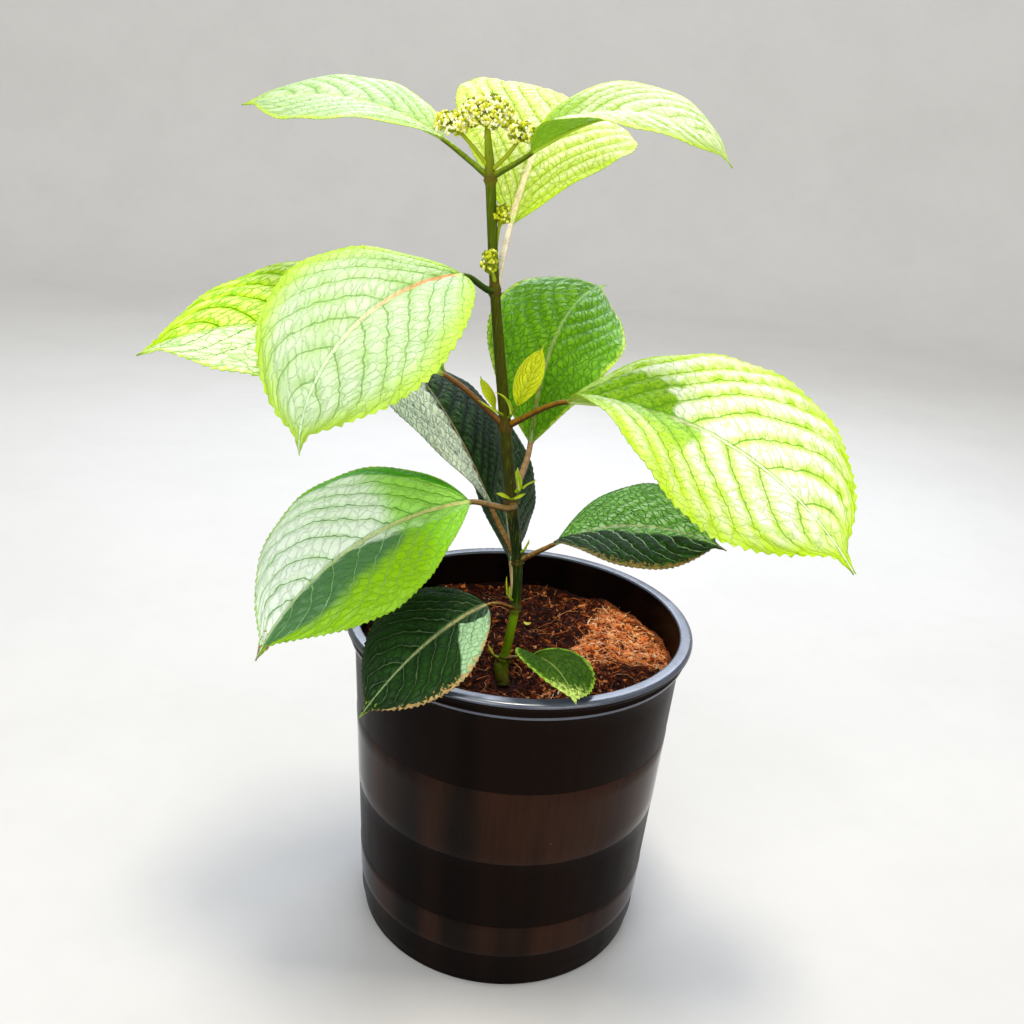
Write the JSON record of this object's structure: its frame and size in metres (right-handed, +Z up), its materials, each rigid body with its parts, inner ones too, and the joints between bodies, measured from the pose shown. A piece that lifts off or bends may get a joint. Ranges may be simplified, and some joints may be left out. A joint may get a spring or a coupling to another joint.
{
  "type": "potted hydrangea shrub",
  "caption": "Young hydrangea shrub in a round black nursery pot: a slim leaning stem with broad toothed leaves in crossed pairs, young shoots and a head of green flower buds.",
  "frame": {"origin": "centre of the pot's flat underside", "axes": "+Z up; the pictured side faces -Y, with +X to its right"},
  "size_m": [0.4051, 0.2806, 0.5622],
  "materials": {
    "pot_plastic": "gloss black with satin bands",
    "growing_medium": "loose reddish-brown coconut fibre and chips",
    "stem_wood": "smooth green bark with brown joints",
    "leaf_lime": "satin yellow-green leaf with greener veins",
    "leaf_green": "satin mid-green leaf",
    "leaf_dark": "satin dark green leaf with pale veins",
    "young_shoot": "tender yellow-green leaf",
    "flower_bud": "matt cream-green buds"
  },
  "bodies": {
    "root": {"pot": "pot_plastic", "soil": "growing_medium", "stem": "stem_wood", "leaf_4_right": "leaf_lime", "leaf_5_front_left": "leaf_lime", "leaf_4_left": "leaf_lime", "leaf_5_back": "leaf_lime", "leaf_6_right": "leaf_lime", "leaf_6_left": "leaf_lime", "leaf_3_front_left": "leaf_green", "leaf_3_back": "leaf_green", "leaf_0_right": "leaf_green", "leaf_1_front_left": "leaf_dark", "leaf_2_right": "leaf_dark", "leaf_2_back_left": "leaf_dark", "leaf_1_back": "leaf_dark", "shoot_4_right": "young_shoot", "shoot_4_left": "young_shoot", "shoot_3_right": "young_shoot", "shoot_3_left": "young_shoot", "shoot_2_right": "young_shoot", "shoot_1_left": "young_shoot", "shoot_0_left": "young_shoot", "buds_5_front": "flower_bud", "buds_5_back": "flower_bud", "buds_6_left": "flower_bud", "buds_6_right": "flower_bud", "flower_head": "flower_bud"}
  },
  "joints": []
}
